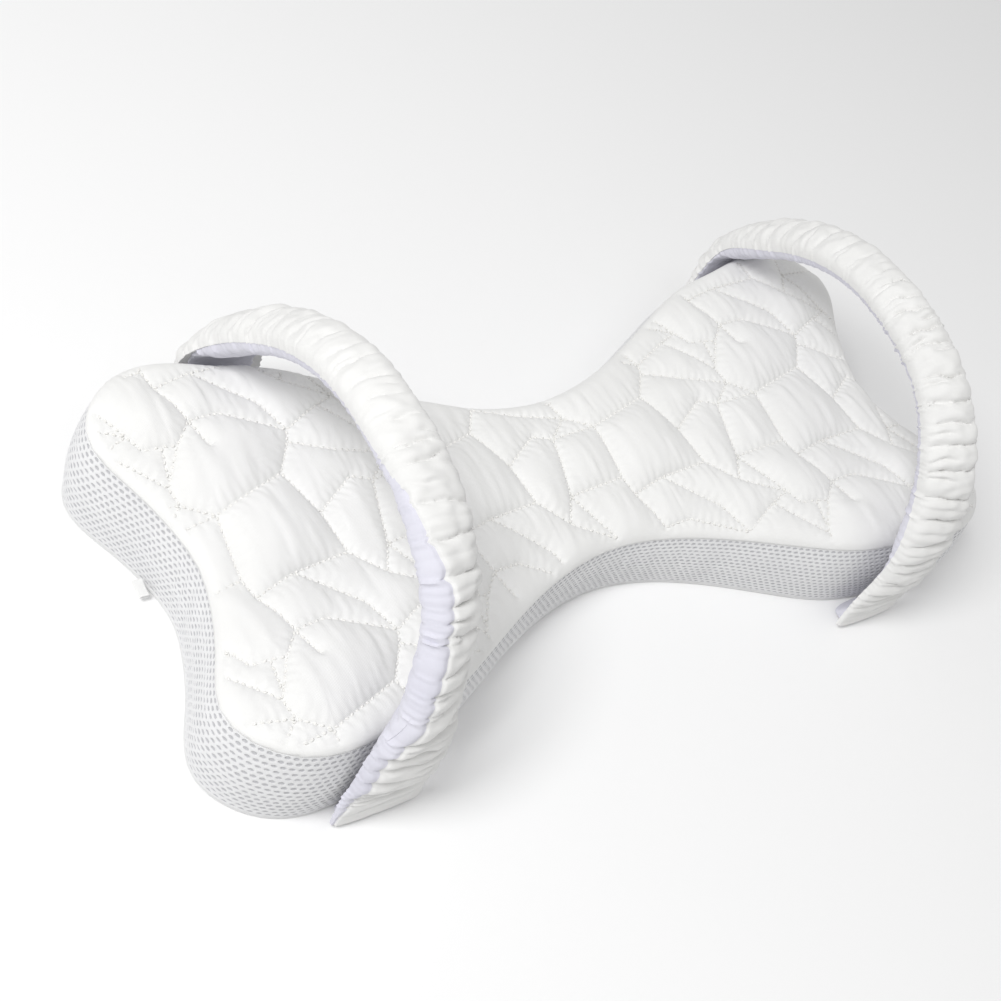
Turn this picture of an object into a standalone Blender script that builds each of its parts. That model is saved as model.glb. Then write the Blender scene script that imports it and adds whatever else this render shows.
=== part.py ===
"""Bone-shaped knee pillow with a quilted face, an air-mesh gusset and two ruched leg straps.

Metres, +Z up, +X along the pillow. The pillow lies on its base at z = 0 with the quilted face up.
"""

import math

import bmesh
import bpy
import numpy as np
from mathutils import Vector
from mathutils.geometry import delaunay_2d_cdt

# Driving dimensions of the pillow body.
LENGTH = 0.530
LOBE_WIDTH = 0.2346
WAIST_WIDTH = 0.104
SEAM_HEIGHT = 0.0403
SEAM_RISE_ALONG = 0.0039
SEAM_RISE_ALONG_AT = 0.144
SEAM_RISE_ACROSS = 0.0039
SEAM_RISE_ACROSS_AT = 0.075
CROWN = 0.0095
CROWN_REACH = 0.050
EDGE_ROLL = 0.0035
EDGE_ROLL_REACH = 0.009
QUILT_PUFF = 0.0042
QUILT_PUFF_REACH = 0.0075

# The side: a mesh gusset over the filling, a little wider at the base than at the face seam.
BASE_FLARE = 0.0032
SIDE_BULGE = 0.0028
GUSSET_THICKNESS = 0.0022
LIP_THICKNESS = 0.0014
BASE_THICKNESS = 0.0020
GAP = 0.0003
OUTLINE_STEPS = 132
SIDE_ROWS = 4

# Quilting: the repeat along and across the pillow, and the spacing of the points on its lines.
REPEAT_ALONG = 0.124
REPEAT_ACROSS = 0.128
GRAIN_BOW = 0.18
GRAIN_BOW_CENTRE = -0.080
STITCH_STEP = 0.0085
STITCH_WELD = 0.0012
SHOULDER = 0.0036
STITCH_MARGIN = 0.0035
PATCH_STEP = 0.0135
PUFF_SHAPE = 1.3

# Straps.
SLEEVE_HEIGHT = 0.0115
SLEEVE_END_HEIGHT = 0.0045
LINING_HEIGHT = 0.0100
LINING_END_WIDTH = 0.042
LINING_END_HEIGHT = 0.0018
LINING_SETBACK = 0.0005
SLEEVE_SWELL = (0.000, 0.050)
LINING_SWELL = (0.048, 0.034)
RUCHE_PITCH = 0.0125
RUCHE_DEPTH = 0.0013
SECTION_POINTS = 8
SECTION_FULLNESS = 0.75
STRAP_FOOT_HEIGHT = 0.0026
FOOT_HEM_RUN = 0.014
FOOT_PART_UP = 0.10
LEAN_FROM = 0.060
LEAN_FULL_AT = 0.160

# One quarter of the outline at the face seam, as parts of half the length and half the lobe width.
OUTLINE_QUARTER = (
    # name, along, across
    ("end notch", 0.9057, 0.0000),
    ("notch side", 0.9185, 0.1807),
    ("lobe inner side", 0.9585, 0.4211),
    ("lobe tip", 1.0000, 0.7016),
    ("lobe corner", 0.9215, 0.9463),
    ("lobe side", 0.7958, 1.0000),
    ("lobe back", 0.6796, 0.9523),
    ("flank", 0.5287, 0.8670),
    ("waist", 0.0000, WAIST_WIDTH / LOBE_WIDTH),
)

# Named corners of one repeat of the crazy-patch quilting, in millimetres along and across the repeat.
QUILT_CORNERS = {
    "pane_nw": (26, 25), "pane_n": (47, 31), "pane_ne": (69, 38), "pane_e": (79, 10),
    "pane_se": (82, -16), "pane_s": (48, -19), "pane_sw": (24, -25), "pane_w": (22, -13),
    "wedge_tip": (106, 27), "kite_top": (81, 55), "kite_knot": (84, 62), "kite_bend": (104, 45),
    "eye_east": (135, 36), "eye_west": (118, 22), "sail_foot": (106, -17), "sail_heel": (97, -33),
    "step_a": (116, -35), "step_b": (123, -48), "step_c": (128, -58), "step_d": (138, -59),
    "roof_west": (110, 75), "roof_foot": (133, 47), "roof_mid": (146, 67), "roof_top": (157, 79),
    "roof_east": (175, 80), "post_foot": (162, 62), "post_head": (154, 91), "hem_nw": (148, 103),
    "spire_mid": (76, 82), "spire_foot": (48, 109), "leaf_mid": (124, 58), "stem": (135, 52),
}

# The stitched lines of one repeat, each through its corners; a line may run on into the next repeat.
QUILT_LINES = (
    ("pane_nw", "pane_n", "pane_ne", "pane_e", "pane_se", "pane_s", "pane_sw", "pane_w", "pane_nw"),
    ("pane_e", "wedge_tip", "eye_west", "sail_foot", "sail_heel", "pane_se"),
    ("pane_ne", "kite_top", "kite_bend", "eye_east", "eye_west"),
    ("kite_top", "kite_knot", "roof_west", "leaf_mid", "roof_foot", "eye_east"),
    ("roof_foot", "roof_mid", "roof_top", "roof_east"),
    ("kite_knot", "spire_mid", "spire_foot"),
    ("post_foot", "roof_top", "post_head", "hem_nw"),
)
# Lines that join a corner of one repeat with a corner of a neighbour (corner, repeats along, repeats across).
QUILT_JOINS = (
    (("eye_east", 0, 0), ("pane_nw", 1, 0)),
    (("eye_west", 0, 0), ("pane_nw", 1, 0)),
    (("sail_foot", 0, 0), ("pane_w", 1, 0)),
    (("sail_foot", 0, 0), ("step_a", 0, 0), ("step_b", 0, 0), ("step_c", 0, 0), ("step_d", 0, 0),
     ("roof_mid", 0, -1)),
    (("sail_heel", 0, 0), ("step_b", 0, 0)),
    (("roof_west", 0, 0), ("step_b", 0, 1)),
    (("roof_east", 0, 0), ("kite_knot", 1, 0)),
    (("stem", 0, 0), ("step_d", 0, 1)),
)

# The arch that a strap follows, between its two feet: part of the way across, and height.
STRAP_ARCH = (
    # name, across, height
    ("near foot", -0.020, STRAP_FOOT_HEIGHT),
    ("near side", -0.011, 0.026),
    ("near edge", -0.004, 0.056),
    ("near rise", 0.020, 0.090),
    ("near bend", 0.078, 0.121),
    ("near crest", 0.180, 0.147),
    ("crest", 0.320, 0.160),
    ("far crest", 0.480, 0.161),
    ("far slope", 0.640, 0.150),
    ("far bend", 0.785, 0.127),
    ("far fall", 0.905, 0.096),
    ("far edge", 0.990, 0.062),
    ("far side", 1.008, 0.028),
    ("far foot", 1.012, STRAP_FOOT_HEIGHT),
)

# The straps: where each foot stands along the pillow, how far the top of the arch leans along it, and its rise.
STRAPS = (
    # name, near foot x, far foot x, lean, rise above the face
    ("left", -0.190, -0.169, 0.005, 1.00),
    ("right", 0.174, 0.212, -0.012, 0.95),
)

# How wide each strap is along its way, how many degrees it turns about it, and how far it strays along the pillow.
STRAP_TURNS = {
    "left": (
        # name, part of the way, width, turn, stray
        ("near foot", 0.00, 0.052, 0.0, 0.0000),
        ("near edge", 0.12, 0.046, 0.0, 0.0000),
        ("near rise", 0.20, 0.039, 28.0, 0.0020),
        ("near bend", 0.30, 0.038, 34.0, 0.0050),
        ("near crest", 0.40, 0.033, 15.0, 0.0030),
        ("crest", 0.52, 0.029, -15.0, 0.0000),
        ("far crest", 0.66, 0.028, -15.0, -0.0020),
        ("far slope", 0.80, 0.034, -8.0, -0.0030),
        ("far edge", 0.90, 0.052, 0.0, -0.0010),
        ("far foot", 1.00, 0.056, 0.0, 0.0000),
    ),
    "right": (
        ("near foot", 0.00, 0.052, 0.0, 0.0000),
        ("near edge", 0.15, 0.041, 0.0, 0.0000),
        ("near bend", 0.27, 0.034, -18.0, 0.0020),
        ("near crest", 0.40, 0.029, -25.0, 0.0040),
        ("crest", 0.55, 0.028, -25.0, 0.0020),
        ("far slope", 0.72, 0.030, -20.0, 0.0000),
        ("far edge", 0.86, 0.035, 0.0, 0.0000),
        ("far foot", 1.00, 0.038, 0.0, 0.0000),
    ),
}

TAB_WIDTH = 0.011
TAB_REACH = 0.0050
TAB_THICKNESS = 0.0016
TAB_Y = 0.021
TAB_LIFT = 0.0045

MATERIALS = {
    # name: colour, roughness
    "quilted_knit": ((0.86, 0.85, 0.81), 0.85),
    "air_mesh": ((0.80, 0.82, 0.85), 0.80),
    "base_cloth": ((0.82, 0.82, 0.82), 0.85),
    "strap_lining": ((0.78, 0.79, 0.88), 0.80),
    "tape": ((0.88, 0.88, 0.87), 0.75),
}


def clear_scene():
    for item in list(bpy.data.objects):
        bpy.data.objects.remove(item, do_unlink=True)


def make_material(name):
    colour, roughness = MATERIALS[name]
    material = bpy.data.materials.new(name)
    material.use_nodes = True
    shader = material.node_tree.nodes["Principled BSDF"]
    shader.inputs["Base Color"].default_value = (*colour, 1.0)
    shader.inputs["Roughness"].default_value = roughness
    shader.inputs["Metallic"].default_value = 0.0
    return material


def cubic_second_slopes(knots, points, closed):
    """Second derivatives of the cubic through the points, natural at the ends or running round."""
    count = len(points)
    matrix = np.zeros((count, count))
    right = np.zeros((count, points.shape[1]))
    if closed:
        spans = np.diff(np.append(knots, knots[-1] + knots[0] + closed))
    else:
        spans = np.diff(knots)
    for i in range(count):
        if not closed and i in (0, count - 1):
            matrix[i, i] = 1.0
            continue
        before, after = spans[i - 1], spans[i]
        back, front = (i - 1) % count, (i + 1) % count
        matrix[i, back] += before
        matrix[i, i] += 2.0 * (before + after)
        matrix[i, front] += after
        right[i] = 6.0 * ((points[front] - points[i]) / after - (points[i] - points[back]) / before)
    return np.linalg.solve(matrix, right), spans


def smooth_curve(points, closed, count):
    """Evenly spaced points on a smooth curve through the given ones."""
    points = np.asarray(points, float)
    ring = np.vstack([points, points[:1]]) if closed else points
    lengths = np.sqrt(np.linalg.norm(np.diff(ring, axis=0), axis=1))
    knots = np.concatenate([[0.0], np.cumsum(lengths)])
    if closed:
        second, spans = cubic_second_slopes(knots[:-1], points, lengths[-1])
        second = np.vstack([second, second[:1]])
    else:
        second, spans = cubic_second_slopes(knots, points, 0.0)
    fine = []
    for i, span in enumerate(spans):
        for step in np.linspace(0.0, 1.0, 40, endpoint=False):
            rest = 1.0 - step
            bend = (rest**3 - rest) * second[i] + (step**3 - step) * second[i + 1]
            fine.append(rest * ring[i] + step * ring[i + 1] + bend * span * span / 6.0)
    fine.append(ring[-1])
    fine = np.array(fine)
    travel = np.concatenate([[0.0], np.cumsum(np.linalg.norm(np.diff(fine, axis=0), axis=1))])
    stops = np.linspace(0.0, travel[-1], count + 1 if closed else count)
    if closed:
        stops = stops[:-1]
    return np.column_stack([np.interp(stops, travel, fine[:, k]) for k in range(fine.shape[1])])


def seam_outline():
    """The bone outline at the face seam, counter-clockwise from the right end notch."""
    quarter = np.array([(along, across) for _, along, across in OUTLINE_QUARTER])
    quarter *= (LENGTH / 2.0, LOBE_WIDTH / 2.0)
    half = np.vstack([quarter, (quarter[:-1] * (-1, 1))[::-1]])
    whole = np.vstack([half, (half[1:-1] * (1, -1))[::-1]])
    return smooth_curve(whole, True, OUTLINE_STEPS)


def outward_normals(outline):
    along = np.roll(outline, -1, axis=0) - np.roll(outline, 1, axis=0)
    along /= np.linalg.norm(along, axis=1)[:, None]
    return np.column_stack([along[:, 1], -along[:, 0]])


def seam_height(x, y):
    rise_along = SEAM_RISE_ALONG * (x / SEAM_RISE_ALONG_AT) ** 2
    rise_across = SEAM_RISE_ACROSS * (y / SEAM_RISE_ACROSS_AT) ** 2
    return SEAM_HEIGHT + rise_along + rise_across


def side_offset(part_up):
    """How far the side stands outside the face seam, from the base (0) to the seam (1)."""
    return BASE_FLARE * (1.0 - part_up) + SIDE_BULGE * np.sin(math.pi * part_up)


def side_ring(outline, part_up, inset, bottom, top):
    """One level ring of the side, set inwards, between a bottom height and the seam less a top allowance."""
    normals = outward_normals(outline)
    flat = outline + normals * (side_offset(part_up) - inset)
    seam = seam_height(outline[:, 0], outline[:, 1]) - top
    height = bottom + part_up * (seam - bottom)
    return np.column_stack([flat, height])


def distance_to_outline(points, outline):
    """Distance of each point inside the outline from its nearest edge."""
    start = outline
    run = np.roll(outline, -1, axis=0) - start
    part = np.einsum("pkc,kc->pk", points[:, None, :] - start[None], run)
    part = np.clip(part / np.einsum("kc,kc->k", run, run), 0.0, 1.0)
    nearest = start[None] + part[..., None] * run[None]
    return np.linalg.norm(points[:, None, :] - nearest, axis=2).min(axis=1)


def inside_outline(points, outline):
    """True for each point inside the outline, by counting crossings."""
    start = outline
    end = np.roll(outline, -1, axis=0)
    x, y = points[:, 0][:, None], points[:, 1][:, None]
    spans = (start[:, 1][None] > y) != (end[:, 1][None] > y)
    slope = (end[:, 0] - start[:, 0]) / np.where(end[:, 1] == start[:, 1], 1.0, end[:, 1] - start[:, 1])
    crossing = start[:, 0][None] + (y - start[:, 1][None]) * slope[None]
    return (spans & (x < crossing)).sum(axis=1) % 2 == 1


def quilt_paths():
    """Every stitched line over the face, as lists of corners in metres."""
    corner = {name: np.array(at) / 1000.0 for name, at in QUILT_CORNERS.items()}
    repeat = np.array([REPEAT_ALONG, REPEAT_ACROSS])
    one = [[corner[name] for name in line] for line in QUILT_LINES]
    one += [[corner[name] + repeat * (i, j) for name, i, j in line] for line in QUILT_JOINS]
    paths = []
    for i in range(-4, 3):
        for j in range(-2, 3):
            for line in one:
                moved = np.array(line) + repeat * (i, j)
                moved[:, 1] -= GRAIN_BOW * (moved[:, 0] - GRAIN_BOW_CENTRE) ** 2
                paths.append(moved)
    return paths


def stitch_points(outline):
    """Points along the stitched lines inside the face, and the pairs of them that a line joins."""
    points = []
    index = {}
    pairs = set()

    def add(point):
        key = (round(point[0] / STITCH_WELD), round(point[1] / STITCH_WELD))
        for near in ((key[0] + a, key[1] + b) for a in (-1, 0, 1) for b in (-1, 0, 1)):
            if near in index:
                return index[near]
        index[key] = len(points)
        points.append(point)
        return index[key]

    for path in quilt_paths():
        for start, end in zip(path[:-1], path[1:]):
            count = max(1, round(float(np.linalg.norm(end - start)) / STITCH_STEP))
            row = start + np.linspace(0.0, 1.0, count + 1)[:, None] * (end - start)
            keep = inside_outline(row, outline) & (distance_to_outline(row, outline) > STITCH_MARGIN)
            last = None
            for point, kept in zip(row, keep):
                here = add(point) if kept else None
                if here is not None and last is not None and here != last:
                    pairs.add((min(here, last), max(here, last)))
                last = here
    return np.array(points), sorted(pairs)


def distance_to_stitches(points, stitches, pairs):
    """Distance of each point from the nearest stitched line."""
    start = np.array([stitches[a] for a, _ in pairs])
    run = np.array([stitches[b] for _, b in pairs]) - start
    best = np.full(len(points), 1.0)
    for first, step in zip(start, run):
        part = np.clip((points - first) @ step / float(step @ step), 0.0, 1.0)
        best = np.minimum(best, np.linalg.norm(points - first - part[:, None] * step, axis=1))
    return best


def face_height(points, outline, stitches, pairs):
    """Height of the quilted face: the seam height, the rolled edge, the crown and the puffed patches."""
    edge = distance_to_outline(points, outline)
    roll = EDGE_ROLL * np.sqrt(np.clip(1.0 - (1.0 - np.clip(edge / EDGE_ROLL_REACH, 0, 1)) ** 2, 0, 1))
    crown = CROWN * np.sin(0.5 * math.pi * np.clip(edge / CROWN_REACH, 0.0, 1.0))
    line = distance_to_stitches(points, stitches, pairs)
    fade = np.clip(edge / (2.0 * EDGE_ROLL_REACH), 0.0, 1.0)
    puff = QUILT_PUFF * (1.0 - np.exp(-((line / QUILT_PUFF_REACH) ** PUFF_SHAPE))) * fade
    return seam_height(points[:, 0], points[:, 1]) + roll + crown - 0.5 * QUILT_PUFF * fade + puff


def spread_points(outline, taken, spacing, margin):
    """A staggered grid of points inside the outline, clear of the points already taken."""
    rows = []
    for row, y in enumerate(np.arange(-LOBE_WIDTH / 2, LOBE_WIDTH / 2, spacing * 0.87)):
        shift = 0.5 * spacing * (row % 2)
        rows += [(x + shift, y) for x in np.arange(-LENGTH / 2, LENGTH / 2, spacing)]
    grid = np.array(rows)
    grid = grid[inside_outline(grid, outline)]
    grid = grid[distance_to_outline(grid, outline) > margin]
    clear = np.array([np.linalg.norm(taken - p, axis=1).min() > 0.55 * spacing for p in grid])
    return grid[clear]


def face_points(outline):
    """All points of the quilted face and the joins that its triangles must keep."""
    stitches, pairs = stitch_points(outline)
    shoulders = []
    for a, b in pairs:
        run = stitches[b] - stitches[a]
        side = np.array([-run[1], run[0]]) / np.linalg.norm(run) * SHOULDER
        middle = 0.5 * (stitches[a] + stitches[b])
        shoulders += [middle + side, middle - side]
    shoulders = np.array(shoulders)
    shoulders = shoulders[inside_outline(shoulders, outline)]
    edge = distance_to_outline(shoulders, outline)
    line = distance_to_stitches(shoulders, stitches, pairs)
    shoulders = shoulders[(edge > STITCH_MARGIN) & (line > 0.8 * SHOULDER)]
    kept = []
    for point in shoulders:
        if all(np.linalg.norm(point - other) > 0.6 * SHOULDER for other in kept[-200:]):
            kept.append(point)
    inner = outline - outward_normals(outline) * 0.6 * STITCH_MARGIN
    taken = np.vstack([outline, stitches, kept])
    patches = spread_points(outline, taken, PATCH_STEP, 0.5 * PATCH_STEP)
    first_stitch = 2 * len(outline)
    points = np.vstack([outline, inner, stitches, kept, patches])
    count = len(outline)
    joins = [(i, (i + 1) % count) for i in range(count)]
    joins += [(count + i, count + (i + 1) % count) for i in range(count)]
    joins += [(first_stitch + a, first_stitch + b) for a, b in pairs]
    return points, joins, stitches, pairs


def new_object(name, mesh, material, collection, smooth_angle=None):
    item = bpy.data.objects.new(name, mesh)
    mesh.materials.append(make_material(material) if material not in bpy.data.materials
                          else bpy.data.materials[material])
    if smooth_angle is not None:
        mesh.shade_smooth()
        mesh.set_sharp_from_angle(angle=math.radians(smooth_angle))
    collection.objects.link(item)
    return item


def mesh_from(bm, name):
    bmesh.ops.recalc_face_normals(bm, faces=bm.faces[:])
    mesh = bpy.data.meshes.new(name)
    bm.to_mesh(mesh)
    bm.free()
    return mesh


def add_ring(bm, ring):
    return [bm.verts.new(Vector(point)) for point in ring]


def skin_between(bm, lower, upper):
    """Faces between two rings with the same number of points."""
    count = len(lower)
    for i in range(count):
        j = (i + 1) % count
        bm.faces.new((lower[i], lower[j], upper[j], upper[i]))


def build_cushion(outline, collection):
    """The quilted face panel and its filling: one closed solid, drawn in under the face seam."""
    points, joins, stitches, pairs = face_points(outline)
    flat = [Vector(p) for p in points]
    made = delaunay_2d_cdt(flat, joins, [], 0, 1e-6)
    places = np.array([tuple(v) for v in made[0]])
    origin = made[3]
    heights = face_height(places, outline, stitches, pairs)
    rim = len(outline)
    bm = bmesh.new()
    verts = []
    for place, height in zip(places, heights):
        verts.append(bm.verts.new((place[0], place[1], height)))
    rim_verts = [None] * rim
    for number, sources in enumerate(origin):
        for source in sources:
            if source < rim:
                rim_verts[source] = verts[number]
    centres = np.array([places[list(face)].mean(axis=0) for face in made[2]])
    for face, within in zip(made[2], inside_outline(centres, outline)):
        if within:
            bm.faces.new([verts[i] for i in face])
    seam = seam_height(outline[:, 0], outline[:, 1])
    wall_inset = GUSSET_THICKNESS + GAP
    lip = add_ring(bm, np.column_stack([outline, seam - LIP_THICKNESS]))
    skin_between(bm, lip, rim_verts)
    under = lip
    for row in range(SIDE_ROWS, -1, -1):
        ring = side_ring(outline, row / SIDE_ROWS, wall_inset, BASE_THICKNESS + GAP, LIP_THICKNESS)
        level = add_ring(bm, ring)
        skin_between(bm, level, under)
        under = level
    base = bm.faces.new(under)
    base.normal_update()
    bmesh.ops.triangulate(bm, faces=[base], ngon_method="EAR_CLIP")
    loose = [v for v in bm.verts if not v.link_faces]
    bmesh.ops.delete(bm, geom=loose, context="VERTS")
    return new_object("quilted_cushion", mesh_from(bm, "quilted_cushion"), "quilted_knit", collection, 60)


def build_gusset(outline, collection):
    """The air-mesh band round the sides, tucked under the lip of the face panel."""
    bm = bmesh.new()
    bottom = BASE_THICKNESS + GAP
    top = LIP_THICKNESS + GAP
    outer = [side_ring(outline, row / SIDE_ROWS, 0.0, bottom, top) for row in range(SIDE_ROWS + 1)]
    inner = [side_ring(outline, row / SIDE_ROWS, GUSSET_THICKNESS, bottom, top) for row in range(SIDE_ROWS + 1)]
    rings = [add_ring(bm, ring) for ring in outer + inner[::-1]]
    for lower, upper in zip(rings, rings[1:] + rings[:1]):
        skin_between(bm, lower, upper)
    return new_object("mesh_gusset", mesh_from(bm, "mesh_gusset"), "air_mesh", collection, 60)


def build_base(outline, collection):
    """The base panel: a flat sheet of cloth to the outer line of the gusset."""
    flat = outline + outward_normals(outline) * BASE_FLARE
    bm = bmesh.new()
    ring = add_ring(bm, np.column_stack([flat, np.zeros(len(flat))]))
    sheet = bm.faces.new(ring)
    raised = bmesh.ops.extrude_face_region(bm, geom=[sheet])
    lifted = [v for v in raised["geom"] if isinstance(v, bmesh.types.BMVert)]
    bmesh.ops.translate(bm, vec=(0.0, 0.0, BASE_THICKNESS), verts=lifted)
    wide = [face for face in bm.faces if len(face.verts) > 4]
    bm.normal_update()
    bmesh.ops.triangulate(bm, faces=wide, ngon_method="EAR_CLIP")
    return new_object("base_panel", mesh_from(bm, "base_panel"), "base_cloth", collection)


def strap_turn(name, part):
    """Width, turn and stray of a strap at a part of its way, eased between the rows of its table."""
    rows = np.array([row[1:] for row in STRAP_TURNS[name]])
    after = min(int(np.searchsorted(rows[1:, 0], part)) + 1, len(rows) - 1)
    step = (part - rows[after - 1, 0]) / (rows[after, 0] - rows[after - 1, 0])
    step = step * step * (3.0 - 2.0 * step)
    return rows[after - 1, 1:] * (1.0 - step) + rows[after, 1:] * step


def side_reach(outline, x, side, width):
    """How far the gusset's outer face reaches sideways within the width of a strap's foot at x."""
    reach = 0.0
    for part_up in np.linspace(0.0, 1.0, 2 * SIDE_ROWS + 1):
        ring = outline + outward_normals(outline) * side_offset(part_up)
        under = (np.abs(ring[:, 0] - x) < 0.55 * width) & (ring[:, 1] * side > 0.0)
        reach = max(reach, float(np.abs(ring[under, 1]).max()))
    return reach


def hem_height(outline, foot, width):
    """How high the turned-under hem at a strap's foot can be before it meets the gusset."""
    side = np.sign(foot[1])
    ring = outline + outward_normals(outline) * side_offset(FOOT_PART_UP)
    beside = ring[(np.abs(ring[:, 0] - foot[0]) < 0.6 * width) & (ring[:, 1] * side > 0.0)]
    beside = beside[np.argsort(beside[:, 0])]
    angles = np.linspace(0.0, math.pi, SECTION_POINTS)[1:-1]
    stations = foot[0] + 0.5 * width * np.cos(angles)
    room = abs(foot[1]) - np.interp(stations, beside[:, 0], np.abs(beside[:, 1])) - 1.5 * GAP
    return float((room / np.sin(angles) ** SECTION_FULLNESS).min())


def strap_path(outline, name, near_x, far_x, lean, rise):
    """Points along a strap's middle sheet, a whole number of pleats apart, and its length."""
    stand_off = 2.0 * GAP + LINING_END_HEIGHT
    near = np.array([near_x, -side_reach(outline, near_x, -1.0, strap_turn(name, 0.0)[0]) - stand_off])
    far = np.array([far_x, side_reach(outline, far_x, 1.0, strap_turn(name, 1.0)[0]) + stand_off])
    rows = []
    for _, across, height in STRAP_ARCH:
        flat = near + (far - near) * across
        above = max(0.0, height - LEAN_FROM)
        leaning = above * rise / (LEAN_FULL_AT - LEAN_FROM)
        rows.append((flat[0] + lean * leaning, flat[1], height - above + above * rise))
    rough = smooth_curve(rows, False, 200)
    length = float(np.linalg.norm(np.diff(rough, axis=0), axis=1).sum())
    path = smooth_curve(rows, False, 2 * round(length / RUCHE_PITCH) + 1)
    path[:, 0] += [strap_turn(name, part)[2] for part in np.linspace(0.0, 1.0, len(path))]
    return path, length


def strap_rings(name, path, length, heights, swell_from, side, ruche, hems, setback, widest):
    """Rings of a half-round section along the strap, its height growing from that of the ends to the full one.

    swell_from gives how far from each end the section starts to swell, and over what run.
    hems gives the height of the turned-under hem at the near and the far end.
    """
    rings = []
    tangents = np.gradient(path, axis=0)
    for number, (centre, tangent) in enumerate(zip(path, tangents)):
        part = number / (len(path) - 1)
        full_width, turn, _ = strap_turn(name, part)
        turn = math.radians(turn)
        square = np.cross(np.array([1.0, 0.0, 0.0]), tangent)
        square /= np.linalg.norm(square)
        along = np.cross(tangent, square)
        along /= np.linalg.norm(along)
        out = math.cos(turn) * square + math.sin(turn) * along
        width = math.cos(turn) * along - math.sin(turn) * square
        at = length * part
        from_end = min(at, length - at)
        swell = min(1.0, max(0.0, from_end - swell_from[0]) / swell_from[1])
        swell = swell * swell * (3.0 - 2.0 * swell)
        half_width = 0.5 * min(full_width, widest) - setback
        height = heights[0] + (heights[1] - heights[0]) * swell
        hem = hems[0] if at < 0.5 * length else hems[1]
        height = max(height, hem * (1.0 - from_end / FOOT_HEM_RUN))
        fold = ruche * swell * (1.0 if number % 2 else -1.0)
        ring = []
        for angle in np.linspace(0.0, math.pi, SECTION_POINTS):
            across = math.cos(angle) * (half_width + 0.5 * fold)
            raised = max(0.0, math.sin(angle)) ** SECTION_FULLNESS * (height + fold)
            ring.append(centre + width * across + side * out * (0.5 * GAP + raised))
        rings.append(np.array(ring))
    return rings


def build_strap_piece(name, material, rings, collection):
    bm = bmesh.new()
    loops = [add_ring(bm, ring) for ring in rings]
    for lower, upper in zip(loops[:-1], loops[1:]):
        skin_between(bm, lower, upper)
    caps = [bm.faces.new(loops[0]), bm.faces.new(loops[-1])]
    bm.normal_update()
    bmesh.ops.triangulate(bm, faces=caps, ngon_method="EAR_CLIP")
    return new_object(name, mesh_from(bm, name), material, collection, 50)


def build_straps(outline, collection):
    for name, near_x, far_x, lean, rise in STRAPS:
        path, length = strap_path(outline, name, near_x, far_x, lean, rise)
        widths = [strap_turn(name, part)[0] for part in (0.0, 1.0)]
        sleeve = strap_rings(name, path, length, (SLEEVE_END_HEIGHT, SLEEVE_HEIGHT), SLEEVE_SWELL, 1.0,
                             RUCHE_DEPTH, (0.0, 0.0), 0.0, max(widths))
        hem_widths = [min(width, LINING_END_WIDTH) - 2.0 * LINING_SETBACK for width in widths]
        hems = [hem_height(outline, path[end], width) for end, width in zip((0, -1), hem_widths)]
        lining = strap_rings(name, path, length, (LINING_END_HEIGHT, LINING_HEIGHT), LINING_SWELL, -1.0,
                             0.5 * RUCHE_DEPTH, hems, LINING_SETBACK, LINING_END_WIDTH)
        build_strap_piece(name + "_strap_sleeve", "quilted_knit", sleeve, collection)
        build_strap_piece(name + "_strap_lining", "strap_lining", lining, collection)


def build_tab(outline, collection):
    """A short folded tape in the base seam at the left end."""
    base_line = outline + outward_normals(outline) * (side_offset(TAB_LIFT / SEAM_HEIGHT) + GAP)
    left = base_line[outline[:, 0] < -0.5 * LENGTH * OUTLINE_QUARTER[0][1] + TAB_REACH]
    low, high = TAB_Y - 0.5 * TAB_WIDTH, TAB_Y + 0.5 * TAB_WIDTH
    left = left[np.argsort(left[:, 1])]
    root = min(float(np.interp(y, left[:, 1], left[:, 0])) for y in (low, TAB_Y, high))
    bm = bmesh.new()
    bmesh.ops.create_cube(bm, size=1.0)
    bmesh.ops.scale(bm, vec=(TAB_REACH, TAB_WIDTH, TAB_THICKNESS), verts=bm.verts[:])
    outer = [edge for edge in bm.edges if all(vert.co.x < 0 for vert in edge.verts)]
    bmesh.ops.bevel(bm, geom=outer, offset=0.45 * TAB_THICKNESS, affect="EDGES", segments=2, profile=0.5,
                    material=-1)
    bmesh.ops.translate(bm, vec=(root - TAB_REACH / 2, TAB_Y, TAB_LIFT), verts=bm.verts[:])
    return new_object("seam_tab", mesh_from(bm, "seam_tab"), "tape", collection)


def build_pillow():
    clear_scene()
    collection = bpy.data.collections.new("knee_pillow")
    bpy.context.scene.collection.children.link(collection)
    outline = seam_outline()
    build_cushion(outline, collection)
    build_gusset(outline, collection)
    build_base(outline, collection)
    build_straps(outline, collection)
    build_tab(outline, collection)


build_pillow()
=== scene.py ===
"""Knee pillow: the finished look of each piece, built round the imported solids.

Metres, +X along the pillow, +Z up. The pillow lies on its base at z = 0 with the quilted face up.
"""

import math

import bmesh
import bpy
import numpy as np
from mathutils import Matrix, Vector, noise


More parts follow.
